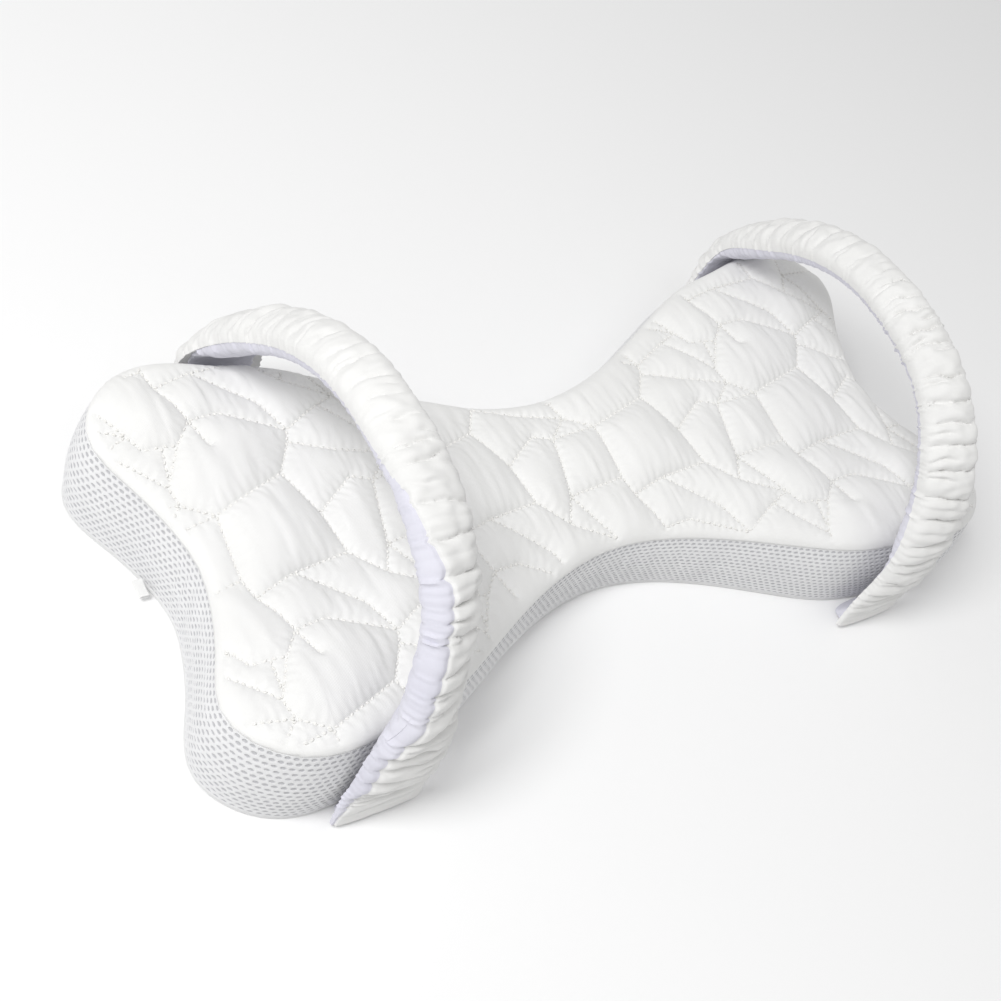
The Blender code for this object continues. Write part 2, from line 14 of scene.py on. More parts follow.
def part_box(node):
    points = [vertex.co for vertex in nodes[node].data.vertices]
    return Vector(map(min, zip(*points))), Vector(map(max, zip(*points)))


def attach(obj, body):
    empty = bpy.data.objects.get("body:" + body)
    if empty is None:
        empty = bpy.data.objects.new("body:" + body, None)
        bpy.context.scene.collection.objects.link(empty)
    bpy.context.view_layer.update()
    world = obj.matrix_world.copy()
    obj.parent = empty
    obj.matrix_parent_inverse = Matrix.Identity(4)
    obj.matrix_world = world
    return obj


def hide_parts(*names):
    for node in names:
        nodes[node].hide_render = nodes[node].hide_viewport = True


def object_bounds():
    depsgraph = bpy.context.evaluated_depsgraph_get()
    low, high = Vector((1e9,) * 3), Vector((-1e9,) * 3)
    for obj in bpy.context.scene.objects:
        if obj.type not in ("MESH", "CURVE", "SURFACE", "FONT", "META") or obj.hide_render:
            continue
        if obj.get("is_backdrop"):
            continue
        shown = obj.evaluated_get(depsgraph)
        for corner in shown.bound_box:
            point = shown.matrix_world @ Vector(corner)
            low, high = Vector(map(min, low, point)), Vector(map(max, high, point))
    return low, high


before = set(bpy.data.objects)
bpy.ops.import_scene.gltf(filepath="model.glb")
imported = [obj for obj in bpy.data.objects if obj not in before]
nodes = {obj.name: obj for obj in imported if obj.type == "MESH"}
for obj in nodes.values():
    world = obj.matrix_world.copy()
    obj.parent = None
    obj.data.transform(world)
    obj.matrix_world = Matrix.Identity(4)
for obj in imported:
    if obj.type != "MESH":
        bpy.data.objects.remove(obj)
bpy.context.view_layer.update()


# Base panel
# The bottom of the cover: a bone-shaped sheet of plain-woven cloth under the foam.
# It is cut to the outer line of the mesh band and sewn to it all round.
LENGTH = 0.530
LOBE_WIDTH = 0.2346
WAIST_WIDTH = 0.104
OUTLINE_QUARTER = (
    # name, along, across, as parts of half the length and half the lobe width
    ("end notch", 0.9057, 0.0000),
    ("notch side", 0.9185, 0.1807),
    ("lobe inner side", 0.9585, 0.4211),
    ("lobe tip", 1.0000, 0.7016),
    ("lobe corner", 0.9215, 0.9463),
    ("lobe side", 0.7958, 1.0000),
    ("lobe back", 0.6796, 0.9523),
    ("flank", 0.5287, 0.8670),
    ("waist", 0.0000, WAIST_WIDTH / LOBE_WIDTH),
)
BASE_FLARE = 0.0032
BASE_THICKNESS = 0.0020
WEAVE_PITCH = 0.0007


def smooth_curve(points, closed, count):
    """Evenly spaced points on a smooth curve through the given ones."""
    points = np.asarray(points, float)
    ring = np.vstack([points, points[:1]]) if closed else points
    spans = np.sqrt(np.linalg.norm(np.diff(ring, axis=0), axis=1))
    size = len(points)
    matrix = np.zeros((size, size))
    right = np.zeros((size, points.shape[1]))
    for i in range(size):
        if not closed and i in (0, size - 1):
            matrix[i, i] = 1.0
            continue
        before, after = spans[i - 1], spans[i]
        back, front = (i - 1) % size, (i + 1) % size
        matrix[i, back] += before
        matrix[i, i] += 2.0 * (before + after)
        matrix[i, front] += after
        right[i] = 6.0 * ((points[front] - points[i]) / after - (points[i] - points[back]) / before)
    second = np.linalg.solve(matrix, right)
    if closed:
        second = np.vstack([second, second[:1]])
    fine = []
    for i, span in enumerate(spans):
        for step in np.linspace(0.0, 1.0, 60, endpoint=False):
            rest = 1.0 - step
            bend = (rest**3 - rest) * second[i] + (step**3 - step) * second[i + 1]
            fine.append(rest * ring[i] + step * ring[i + 1] + bend * span * span / 6.0)
    fine.append(ring[-1])
    fine = np.array(fine)
    travel = np.concatenate([[0.0], np.cumsum(np.linalg.norm(np.diff(fine, axis=0), axis=1))])
    stops = np.linspace(0.0, travel[-1], count + 1 if closed else count)
    if closed:
        stops = stops[:-1]
    return np.column_stack([np.interp(stops, travel, fine[:, k]) for k in range(fine.shape[1])])


def bone_outline(count):
    """The line of the face seam, counter-clockwise from the right end notch."""
    quarter = np.array([(along, across) for _, along, across in OUTLINE_QUARTER])
    quarter *= (LENGTH / 2.0, LOBE_WIDTH / 2.0)
    half = np.vstack([quarter, (quarter[:-1] * (-1, 1))[::-1]])
    whole = np.vstack([half, (half[1:-1] * (1, -1))[::-1]])
    return smooth_curve(whole, True, count)


def outward(line):
    along = np.roll(line, -1, axis=0) - np.roll(line, 1, axis=0)
    along /= np.linalg.norm(along, axis=1)[:, None]
    return np.column_stack([along[:, 1], -along[:, 0]])


def set_places(verts, places):
    for vert, place in zip(verts, places):
        vert.co = place


def make_group(name, inputs, outputs):
    """An empty shader node group with named sockets, and its input and output nodes."""
    group = bpy.data.node_groups.new(name, "ShaderNodeTree")
    for label, kind, value in inputs:
        socket = group.interface.new_socket(label, in_out="INPUT", socket_type=kind)
        if value is not None:
            socket.default_value = value
    for label, kind in outputs:
        group.interface.new_socket(label, in_out="OUTPUT", socket_type=kind)
    return group, group.nodes.new("NodeGroupInput"), group.nodes.new("NodeGroupOutput")


def maths(tree, operation, first, second=None, third=None):
    """A Math node whose inputs are sockets or numbers."""
    node = tree.nodes.new("ShaderNodeMath")
    node.operation = operation
    for slot, value in enumerate((first, second, third)):
        if value is None:
            continue
        if isinstance(value, (int, float)):
            node.inputs[slot].default_value = value
        else:
            tree.links.new(value, node.inputs[slot])
    return node.outputs[0]


# Threads crossing over and under, used at its own pitch by each woven or knitted cloth.
thread_cloth, given, made = make_group(
    "thread_cloth",
    [("Place", "NodeSocketVector", None), ("Threads per metre", "NodeSocketFloat", 1400.0),
     ("Mottle", "NodeSocketFloat", 30.0)],
    [("Height", "NodeSocketFloat"), ("Tone", "NodeSocketFloat")],
)
scaled = thread_cloth.nodes.new("ShaderNodeVectorMath")
scaled.operation = "SCALE"
thread_cloth.links.new(given.outputs["Place"], scaled.inputs[0])
thread_cloth.links.new(given.outputs["Threads per metre"], scaled.inputs["Scale"])
parts = thread_cloth.nodes.new("ShaderNodeSeparateXYZ")
thread_cloth.links.new(scaled.outputs[0], parts.inputs[0])
warp = maths(thread_cloth, "SINE", maths(thread_cloth, "MULTIPLY", parts.outputs[0], math.pi))
weft = maths(thread_cloth, "SINE", maths(thread_cloth, "MULTIPLY", parts.outputs[1], math.pi))
crossing = maths(thread_cloth, "MULTIPLY", warp, weft)
fuzz = thread_cloth.nodes.new("ShaderNodeTexNoise")
fuzz.inputs["Detail"].default_value = 3.0
thread_cloth.links.new(scaled.outputs[0], fuzz.inputs["Vector"])
fuzz.inputs["Scale"].default_value = 0.8
height = maths(thread_cloth, "MULTIPLY_ADD", crossing, 0.3, 0.5)
height = maths(thread_cloth, "MULTIPLY_ADD", fuzz.outputs["Fac"], 0.5, height)
thread_cloth.links.new(height, made.inputs["Height"])
mottle = thread_cloth.nodes.new("ShaderNodeTexNoise")
mottle.inputs["Detail"].default_value = 4.0
thread_cloth.links.new(given.outputs["Place"], mottle.inputs["Vector"])
thread_cloth.links.new(given.outputs["Mottle"], mottle.inputs["Scale"])
thread_cloth.links.new(mottle.outputs["Fac"], made.inputs["Tone"])


def cloth_finish(name, light, dark, roughness, sheen, threads, relief, place="Object", mottle_scale=30.0):
    """A cloth material: its colour between two tones, its threads as relief, and a soft sheen."""
    material = bpy.data.materials.new(name)
    material.use_nodes = True
    tree = material.node_tree
    shader = tree.nodes["Principled BSDF"]
    shader.inputs["Roughness"].default_value = roughness
    shader.inputs["Sheen Weight"].default_value = sheen
    shader.inputs["Sheen Roughness"].default_value = 0.5
    shader.inputs["Specular IOR Level"].default_value = 0.25
    where = tree.nodes.new("ShaderNodeTexCoord")
    threads_node = tree.nodes.new("ShaderNodeGroup")
    threads_node.node_tree = thread_cloth
    threads_node.inputs["Threads per metre"].default_value = threads
    threads_node.inputs["Mottle"].default_value = mottle_scale
    tree.links.new(where.outputs[place], threads_node.inputs["Place"])
    tone = tree.nodes.new("ShaderNodeMix")
    tone.data_type = "RGBA"
    tone.inputs["A"].default_value = (*dark, 1.0)
    tone.inputs["B"].default_value = (*light, 1.0)
    spread = tree.nodes.new("ShaderNodeMapRange")
    spread.inputs["From Min"].default_value = 0.3
    spread.inputs["From Max"].default_value = 0.7
    tree.links.new(threads_node.outputs["Tone"], spread.inputs["Value"])
    tree.links.new(spread.outputs["Result"], tone.inputs["Factor"])
    tree.links.new(tone.outputs["Result"], shader.inputs["Base Color"])
    bump = tree.nodes.new("ShaderNodeBump")
    bump.inputs["Distance"].default_value = relief
    bump.inputs["Strength"].default_value = 0.6
    tree.links.new(threads_node.outputs["Height"], bump.inputs["Height"])
    tree.links.new(bump.outputs["Normal"], shader.inputs["Normal"])
    return material, threads_node, tone, bump


def finish_piece(bm, name, material, cad_nodes=(), sharp=60.0):
    """Turns a bmesh into a piece of the pillow, riding on its body."""
    mesh = bpy.data.meshes.new(name)
    bm.to_mesh(mesh)
    bm.free()
    mesh.shade_smooth()
    mesh.set_sharp_from_angle(angle=math.radians(sharp))
    mesh.materials.append(material)
    piece = bpy.data.objects.new(name, mesh)
    bpy.context.scene.collection.objects.link(piece)
    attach(piece, "root")
    if cad_nodes:
        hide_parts(*cad_nodes)
    return piece


base_line = bone_outline(528)
base_line = base_line + outward(base_line) * BASE_FLARE
bm = bmesh.new()
bmesh.ops.create_circle(bm, cap_ends=True, segments=len(base_line), radius=1.0)
bm.verts.ensure_lookup_table()
set_places(bm.verts, [(x, y, 0.0) for x, y in base_line])
bm.normal_update()
raised = bmesh.ops.extrude_face_region(bm, geom=bm.faces[:])
lifted = [item for item in raised["geom"] if isinstance(item, bmesh.types.BMVert)]
bmesh.ops.translate(bm, vec=(0.0, 0.0, BASE_THICKNESS), verts=lifted)
bm.normal_update()
rims = [edge for edge in bm.edges if len(edge.link_faces) == 2 and edge.calc_face_angle(0.0) > 1.0]
bmesh.ops.bevel(bm, geom=rims, offset=0.0005, affect="EDGES", segments=2, profile=0.5, material=-1)
bmesh.ops.recalc_face_normals(bm, faces=bm.faces[:])
bm.normal_update()
bmesh.ops.triangulate(bm, faces=[f for f in bm.faces if len(f.verts) > 4], ngon_method="EAR_CLIP")
base_cloth, _, _, _ = cloth_finish("base cloth", (0.80, 0.80, 0.80), (0.74, 0.74, 0.74), 0.85, 0.15,
                                   1.0 / WEAVE_PITCH, 0.0003)
base_sheet = finish_piece(bm, "base_sheet", base_cloth, ["base_panel"])


# Mesh band
# The side of the cover: a strip of spacer mesh round the foam, with rows of small oval holes.
# It is sewn to the base below and to the quilted face above, and buckles a little at the waist.
SEAM_HEIGHT = 0.0403
SEAM_RISE_ALONG = 0.0039
SEAM_RISE_ALONG_AT = 0.144
SEAM_RISE_ACROSS = 0.0039
SEAM_RISE_ACROSS_AT = 0.075
SIDE_BULGE = 0.0028
BAND_THICKNESS = 0.0022
LIP = 0.0014
GAP = 0.0003
BAND_STEPS = 1440
BAND_ROWS = 42
HOLE_PITCH = 0.0042
HOLE_ROW = 0.0030
HOLE_LENGTH = 0.0027
HOLE_WIDTH = 0.0014
HOLE_DEPTH = 0.0007
BUCKLE = 0.0009


def seam_height(x, y):
    rise_along = SEAM_RISE_ALONG * (x / SEAM_RISE_ALONG_AT) ** 2
    rise_across = SEAM_RISE_ACROSS * (y / SEAM_RISE_ACROSS_AT) ** 2
    return SEAM_HEIGHT + rise_along + rise_across


def side_offset(part_up):
    return BASE_FLARE * (1.0 - part_up) + SIDE_BULGE * np.sin(math.pi * part_up)


def hole_mask(along, up):
    """1 in the middle of a hole of the mesh, 0 between the holes, rows staggered."""
    row = np.floor(up / HOLE_ROW)
    across = (along / HOLE_PITCH + 0.5 * (row % 2)) % 1.0 - 0.5
    high = (up / HOLE_ROW) % 1.0 - 0.5
    distance = np.hypot(across * HOLE_PITCH / (0.5 * HOLE_LENGTH), high * HOLE_ROW / (0.5 * HOLE_WIDTH))
    return np.clip(1.35 - distance, 0.0, 1.0)


band_line = bone_outline(BAND_STEPS)
band_out = outward(band_line)
band_run = np.linalg.norm(np.roll(band_line, -1, axis=0) - band_line, axis=1)
perimeter = float(band_run.sum())
hole_count = round(perimeter / HOLE_PITCH)
band_along = np.arange(BAND_STEPS) * hole_count * HOLE_PITCH / BAND_STEPS
turning = np.einsum("kc,kc->k", np.roll(band_line, -6, axis=0) - 2.0 * band_line
                    + np.roll(band_line, 6, axis=0), band_out) / (6.0 * perimeter / BAND_STEPS) ** 2
hollow = np.clip(turning / 12.0, 0.0, 1.0)
band_top = seam_height(band_line[:, 0], band_line[:, 1]) - LIP - GAP
band_bottom = BASE_THICKNESS + GAP
waviness = np.array([noise.noise(Vector((60.0 * x, 60.0 * y, 7.0))) for x, y in band_line])
bm = bmesh.new()
bmesh.ops.create_circle(bm, cap_ends=False, segments=BAND_STEPS, radius=1.0)
bm.verts.ensure_lookup_table()
unwrap = bm.loops.layers.uv.new("cloth")
ring_verts = bm.verts[:]
ring_edges = bm.edges[:]
levels = [(row / BAND_ROWS, 0.0) for row in range(BAND_ROWS + 1)]
levels += [(1.0, BAND_THICKNESS), (0.5, BAND_THICKNESS), (0.0, BAND_THICKNESS)]
band_rings = []
for part_up, inset in levels:
    if band_rings:
        made_ring = bmesh.ops.extrude_edge_only(bm, edges=ring_edges)
        ring_edges = [item for item in made_ring["geom"] if isinstance(item, bmesh.types.BMEdge)]
        ring_edges = [edge for edge in ring_edges if all(v not in band_rings[-1][1] for v in edge.verts)]
        above = {}
        for vert in {v for edge in ring_edges for v in edge.verts}:
            below = next(e.other_vert(vert) for e in vert.link_edges
                         if e.other_vert(vert) in band_rings[-1][1])
            above[below] = vert
        ring_verts = [above[vert] for vert in band_rings[-1][0]]
    rise = band_bottom + part_up * (band_top - band_bottom)
    offset = side_offset(part_up) - inset
    relief = 0.0
    if inset == 0.0:
        fade = math.sin(math.pi * part_up) ** 0.5
        relief = -HOLE_DEPTH * hole_mask(band_along, np.full(BAND_STEPS, part_up * 0.045)) * (fade > 0.1)
        ripple = np.sin(2.0 * math.pi * (band_along / 0.0135 + 0.8 * part_up + waviness))
        relief = relief + BUCKLE * fade * hollow * (ripple - 1.0) * 0.5 + 0.0005 * fade * waviness
    flat = band_line + band_out * (offset + relief)[:, None] if np.ndim(relief) else band_line + band_out * offset
    set_places(ring_verts, np.column_stack([flat, rise]))
    band_rings.append((ring_verts, set(ring_verts)))
bmesh.ops.bridge_loops(bm, edges=ring_edges + [e for e in bm.edges if e.is_boundary and e not in ring_edges])
order = {vert: (step, level) for level, (ring, _) in enumerate(band_rings) for step, vert in enumerate(ring)}
for face in bm.faces:
    steps = [order[loop.vert][0] for loop in face.loops]
    wrapped = max(steps) - min(steps) > BAND_STEPS / 2
    for loop, step in zip(face.loops, steps):
        level = min(order[loop.vert][1], BAND_ROWS)
        turn = step + BAND_STEPS if wrapped and step < BAND_STEPS / 2 else step
        loop[unwrap].uv = (turn * hole_count * HOLE_PITCH / BAND_STEPS, level / BAND_ROWS * 0.045)
bmesh.ops.recalc_face_normals(bm, faces=bm.faces[:])

mesh_holes, given, made = make_group(
    "mesh_holes",
    [("Place", "NodeSocketVector", None)],
    [("Hole", "NodeSocketFloat"), ("Height", "NodeSocketFloat")],
)
parts = mesh_holes.nodes.new("ShaderNodeSeparateXYZ")
mesh_holes.links.new(given.outputs["Place"], parts.inputs[0])
high = maths(mesh_holes, "DIVIDE", parts.outputs[1], HOLE_ROW)
odd = maths(mesh_holes, "MULTIPLY", maths(mesh_holes, "FLOORED_MODULO", maths(mesh_holes, "FLOOR", high), 2.0), 0.5)
wide = maths(mesh_holes, "ADD", maths(mesh_holes, "DIVIDE", parts.outputs[0], HOLE_PITCH), odd)
across = maths(mesh_holes, "SUBTRACT", maths(mesh_holes, "FRACT", wide), 0.5)
upward = maths(mesh_holes, "SUBTRACT", maths(mesh_holes, "FRACT", high), 0.5)
across = maths(mesh_holes, "MULTIPLY", across, HOLE_PITCH / (0.5 * HOLE_LENGTH))
upward = maths(mesh_holes, "MULTIPLY", upward, HOLE_ROW / (0.5 * HOLE_WIDTH))
square = maths(mesh_holes, "MULTIPLY", across, across)
square = maths(mesh_holes, "MULTIPLY_ADD", upward, upward, square)
distance = maths(mesh_holes, "SQRT", square)
hole = mesh_holes.nodes.new("ShaderNodeMapRange")
hole.interpolation_type = "SMOOTHSTEP"
hole.inputs["From Min"].default_value = 1.25
hole.inputs["From Max"].default_value = 0.65
mesh_holes.links.new(distance, hole.inputs["Value"])
mesh_holes.links.new(hole.outputs["Result"], made.inputs["Hole"])
mesh_holes.links.new(maths(mesh_holes, "SUBTRACT", 1.0, hole.outputs["Result"]), made.inputs["Height"])

air_mesh, mesh_threads, mesh_tone, mesh_bump = cloth_finish(
    "air mesh", (0.85, 0.85, 0.855), (0.81, 0.81, 0.82), 0.80, 0.15, 2200.0, 0.00015, place="UV")
tree = air_mesh.node_tree
holes = tree.nodes.new("ShaderNodeGroup")
holes.node_tree = mesh_holes
where = tree.nodes.new("ShaderNodeUVMap")
where.uv_map = "cloth"
tree.links.new(where.outputs["UV"], holes.inputs["Place"])
# Painted shade: each hole of the mesh is painted a darker blue-grey to stand for the shade that falls inside it.
painted_hole_shade = tree.nodes.new("ShaderNodeMix")
painted_hole_shade.data_type = "RGBA"
painted_hole_shade.inputs["B"].default_value = (0.56, 0.56, 0.58, 1.0)
tree.links.new(mesh_tone.outputs["Result"], painted_hole_shade.inputs["A"])
tree.links.new(holes.outputs["Hole"], painted_hole_shade.inputs["Factor"])
tree.links.new(painted_hole_shade.outputs["Result"], tree.nodes["Principled BSDF"].inputs["Base Color"])
deep = tree.nodes.new("ShaderNodeBump")
deep.inputs["Distance"].default_value = 0.0006
deep.inputs["Strength"].default_value = 0.8
tree.links.new(holes.outputs["Height"], deep.inputs["Height"])
tree.links.new(mesh_bump.outputs["Normal"], deep.inputs["Normal"])
tree.links.new(deep.outputs["Normal"], tree.nodes["Principled BSDF"].inputs["Normal"])
mesh_band = finish_piece(bm, "mesh_band", air_mesh, ["mesh_gusset"])


# Quilted face over the foam
# A thick knit face over wadding, stitched in crazy patches and drawn over the foam, which gives it its crown.
# Each patch swells between its stitched lines, and the knit's ribs run across the pillow.
CROWN = 0.0095
CROWN_REACH = 0.050
EDGE_ROLL = 0.0035
EDGE_ROLL_REACH = 0.009
SINK = 0.0021
REPEAT_ALONG = 0.124
REPEAT_ACROSS = 0.128
GRAIN_BOW = 0.18
GRAIN_BOW_CENTRE = -0.080
STITCH_MARGIN = 0.0035
PATCH_RISE = 0.0058
PATCH_SIZE = 0.020
FINE_CUTS = 5
QUILT_CORNERS = {
    "pane_nw": (26, 25), "pane_n": (47, 31), "pane_ne": (69, 38), "pane_e": (79, 10),
    "pane_se": (82, -16), "pane_s": (48, -19), "pane_sw": (24, -25), "pane_w": (22, -13),
    "wedge_tip": (106, 27), "kite_top": (81, 55), "kite_knot": (84, 62), "kite_bend": (104, 45),
    "eye_east": (135, 36), "eye_west": (118, 22), "sail_foot": (106, -17), "sail_heel": (97, -33),
    "step_a": (116, -35), "step_b": (123, -48), "step_c": (128, -58), "step_d": (138, -59),
    "roof_west": (110, 75), "roof_foot": (133, 47), "roof_mid": (146, 67), "roof_top": (157, 79),
    "roof_east": (175, 80), "post_foot": (162, 62), "post_head": (154, 91), "hem_nw": (148, 103),
    "spire_mid": (76, 82), "spire_foot": (48, 109), "leaf_mid": (124, 58), "stem": (135, 52),
}
QUILT_LINES = (
    ("pane_nw", "pane_n", "pane_ne", "pane_e", "pane_se", "pane_s", "pane_sw", "pane_w", "pane_nw"),
    ("pane_e", "wedge_tip", "eye_west", "sail_foot", "sail_heel", "pane_se"),
    ("pane_ne", "kite_top", "kite_bend", "eye_east", "eye_west"),
    ("kite_top", "kite_knot", "roof_west", "leaf_mid", "roof_foot", "eye_east"),
    ("roof_foot", "roof_mid", "roof_top", "roof_east"),
    ("kite_knot", "spire_mid", "spire_foot"),
    ("post_foot", "roof_top", "post_head", "hem_nw"),
)
QUILT_JOINS = (
    # corner, repeats along, repeats across
    (("eye_east", 0, 0), ("pane_nw", 1, 0)),
    (("eye_west", 0, 0), ("pane_nw", 1, 0)),
    (("sail_foot", 0, 0), ("pane_w", 1, 0)),
    (("sail_foot", 0, 0), ("step_a", 0, 0), ("step_b", 0, 0), ("step_c", 0, 0), ("step_d", 0, 0),
     ("roof_mid", 0, -1)),
    (("sail_heel", 0, 0), ("step_b", 0, 0)),
    (("roof_west", 0, 0), ("step_b", 0, 1)),
    (("roof_east", 0, 0), ("kite_knot", 1, 0)),
    (("stem", 0, 0), ("step_d", 0, 1)),
)


def quilt_segments():
    """Every straight run of stitching over the face, as start and end points."""
    corner = {name: np.array(at) / 1000.0 for name, at in QUILT_CORNERS.items()}
    repeat = np.array([REPEAT_ALONG, REPEAT_ACROSS])
    one = [[corner[name] for name in line] for line in QUILT_LINES]
    one += [[corner[name] + repeat * (i, j) for name, i, j in line] for line in QUILT_JOINS]
    starts, ends = [], []
    for i in range(-4, 3):
        for j in range(-2, 3):
            for line in one:
                moved = np.array(line) + repeat * (i, j)
                moved[:, 1] -= GRAIN_BOW * (moved[:, 0] - GRAIN_BOW_CENTRE) ** 2
                starts += list(moved[:-1])
                ends += list(moved[1:])
    return np.array(starts), np.array(ends)


def nearest_edge(points, line):
    """Distance of each point from a closed line, with the piece of it that is nearest and the part along it."""
    run = np.roll(line, -1, axis=0) - line
    best = np.full(len(points), 1.0)
    which = np.zeros(len(points), int)
    place = np.zeros(len(points))
    for k in range(len(line)):
        part = np.clip((points - line[k]) @ run[k] / float(run[k] @ run[k]), 0.0, 1.0)
        far = np.hypot(*(points - line[k] - part[:, None] * run[k]).T)
        closer = far < best
        best[closer], which[closer], place[closer] = far[closer], k, part[closer]
    return best, which, place


def inside(points, line):
    end = np.roll(line, -1, axis=0)
    x, y = points[:, 0][:, None], points[:, 1][:, None]
    spans = (line[:, 1][None] > y) != (end[:, 1][None] > y)
    slope = (end[:, 0] - line[:, 0]) / np.where(end[:, 1] == line[:, 1], 1.0, end[:, 1] - line[:, 1])
    return (spans & (x < line[:, 0][None] + (y - line[:, 1][None]) * slope[None])).sum(axis=1) % 2 == 1


def face_ground(points, edge):
    """Height of the face along its stitched lines: the seam, the rolled edge and the crown."""
    roll = EDGE_ROLL * np.sqrt(np.clip(1.0 - (1.0 - np.clip(edge / EDGE_ROLL_REACH, 0, 1)) ** 2, 0, 1))
    crown = CROWN * np.sin(0.5 * math.pi * np.clip(edge / CROWN_REACH, 0.0, 1.0))
    sink = SINK * np.clip(edge / (2.0 * EDGE_ROLL_REACH), 0.0, 1.0)
    return seam_height(points[:, 0], points[:, 1]) + roll + crown - sink


def swell(places, triangles, held):
    """How far an even push from inside lifts a skin that is held at some of its points."""
    count = len(places)
    area = np.zeros(count)
    pairs = {}
    heads, tails, weights = [], [], []
    for a, b, c in ((0, 1, 2), (1, 2, 0), (2, 0, 1)):
        u = places[triangles[:, a]] - places[triangles[:, c]]
        v = places[triangles[:, b]] - places[triangles[:, c]]
        cross = np.abs(u[:, 0] * v[:, 1] - u[:, 1] * v[:, 0]) + 1e-12
        weights.append(np.clip(0.5 * np.einsum("kc,kc->k", u, v) / cross, 1e-3, 20.0))
        heads.append(triangles[:, a])
        tails.append(triangles[:, b])
        area += np.bincount(triangles[:, a], cross / 6.0, count)
    heads, tails, weights = np.concatenate(heads), np.concatenate(tails), np.concatenate(weights)
    free = ~held
    diagonal = np.bincount(heads, weights, count) + np.bincount(tails, weights, count)

    def pull(values):
        flow = weights * (values[heads] - values[tails])
        return np.where(free, np.bincount(heads, flow, count) - np.bincount(tails, flow, count), 0.0)

    lift = np.zeros(count)
    rest = np.where(free, area, 0.0)
    scaled_rest = rest / diagonal
    step = scaled_rest.copy()
    energy = float(rest @ scaled_rest)
    for _ in range(260):
        pulled = pull(step)
        size = energy / float(step @ pulled)
        lift += size * step
        rest -= size * pulled
        scaled_rest = rest / diagonal
        fresh = float(rest @ scaled_rest)
        if fresh < 1e-22:
            break
        step = scaled_rest + fresh / energy * step
        energy = fresh
    return np.clip(lift, 0.0, None)


stitch_from, stitch_to = quilt_segments()
seam_line = bone_outline(132)
bm = bmesh.new()
bm.from_mesh(nodes["quilted_cushion"].data)
bmesh.ops.remove_doubles(bm, verts=bm.verts[:], dist=0.00002)
on_face = {v for v in bm.verts if v.co.z > seam_height(v.co.x, v.co.y) - 0.5 * LIP}
face_edges = [e for e in bm.edges if all(v in on_face for v in e.verts)]
bmesh.ops.subdivide_edges(bm, edges=face_edges, cuts=FINE_CUTS, use_grid_fill=True)
bmesh.ops.triangulate(bm, faces=[f for f in bm.faces if len(f.verts) > 3])
bm.verts.ensure_lookup_table()
bm.verts.index_update()
places = np.array([v.co[:] for v in bm.verts])
top = places[:, 2] > seam_height(places[:, 0], places[:, 1]) - 0.5 * LIP
edge_far, edge_piece, edge_part = nearest_edge(places[:, :2], seam_line)
fine_line = bone_outline(132 * 8)
fine_index = (edge_piece + edge_part) * 8.0
low = np.floor(fine_index).astype(int)
blend = (fine_index - low)[:, None]
on_curve = fine_line[low % len(fine_line)] * (1.0 - blend) + fine_line[(low + 1) % len(fine_line)] * blend
on_chord = seam_line[edge_piece] + edge_part[:, None] * (np.roll(seam_line, -1, axis=0) - seam_line)[edge_piece]
shift = (on_curve - on_chord) * np.clip(1.0 - edge_far / 0.006, 0.0, 1.0)[:, None]
places[:, :2] += np.where(top[:, None], shift, 0.0)

stitch_far = np.full(len(places), 1.0)
stitch_run = np.zeros(len(places))
kept = []
for first, last in zip(stitch_from, stitch_to):
    count = max(2, int(np.linalg.norm(last - first) / 0.004))
    along = first + np.linspace(0.0, 1.0, count)[:, None] * (last - first)
    if inside(along, seam_line).any():
        kept.append((first, last))
top_index = np.nonzero(top)[0]
flat = places[top_index, :2]
best = np.full(len(flat), 1.0)
run_at = np.zeros(len(flat))
for number, (first, last) in enumerate(kept):
    run = last - first
    size = float(np.linalg.norm(run))
    part = np.clip((flat - first) @ run / (size * size), 0.0, 1.0)
    far = np.hypot(*(flat - first - part[:, None] * run).T)
    closer = far < best
    best[closer] = far[closer]
    run_at[closer] = part[closer] * size + 0.37 * number
edge_top = edge_far[top_index]
held = (best < 0.0004) & (edge_top > STITCH_MARGIN - 0.0006)
held |= edge_top < 0.0004
index_of = np.full(len(places), -1)
index_of[top_index] = np.arange(len(top_index))
triangles = np.array([[index_of[v.index] for v in f.verts] for f in bm.faces
                      if all(index_of[v.index] >= 0 for v in f.verts)])
lift = swell(flat, triangles, held)
puff = PATCH_RISE * (lift / (PATCH_SIZE * PATCH_SIZE / 4.0)) ** 0.64
ribs = np.array([0.55 * noise.noise(Vector((x / 0.0062, y / 0.055, 3.0)))
                 + 0.45 * noise.noise(Vector((x / 0.0034, y / 0.030, 9.0))) for x, y in flat])
room = np.clip(best / 0.009, 0.0, 1.0) * np.clip(edge_top / 0.012, 0.0, 1.0)
pucker = np.sin(2.0 * math.pi * run_at / 0.0052) * np.exp(-best / 0.0040) * np.clip(best / 0.0012, 0.0, 1.0)
height = face_ground(flat, edge_top) + puff + 0.0015 * ribs * room + 0.00042 * pucker
places[top_index, 2] = height
rim = edge_far < 0.0004
rim_out = (on_curve - places[:, :2]) * 0.0
for vert, place in zip(bm.verts, places):
    vert.co = place
bmesh.ops.recalc_face_normals(bm, faces=bm.faces[:])
knit, knit_threads, knit_tone, knit_bump = cloth_finish(
    "quilted knit", (0.885, 0.883, 0.872), (0.85, 0.848, 0.835), 0.85, 0.2, 2100.0, 0.00014, mottle_scale=18.0)
quilted_face = finish_piece(bm, "quilted_face", knit, ["quilted_cushion"], sharp=75.0)


# Quilting thread
# The thread of the quilting lines, lying in their channels in short slanted stitches.
# Every stitch dips through the face, the wadding and the backing.
STITCH_LENGTH = 0.0027
STITCH_PITCH = 0.0034
THREAD = 0.0012
STITCH_SLANT = 0.50

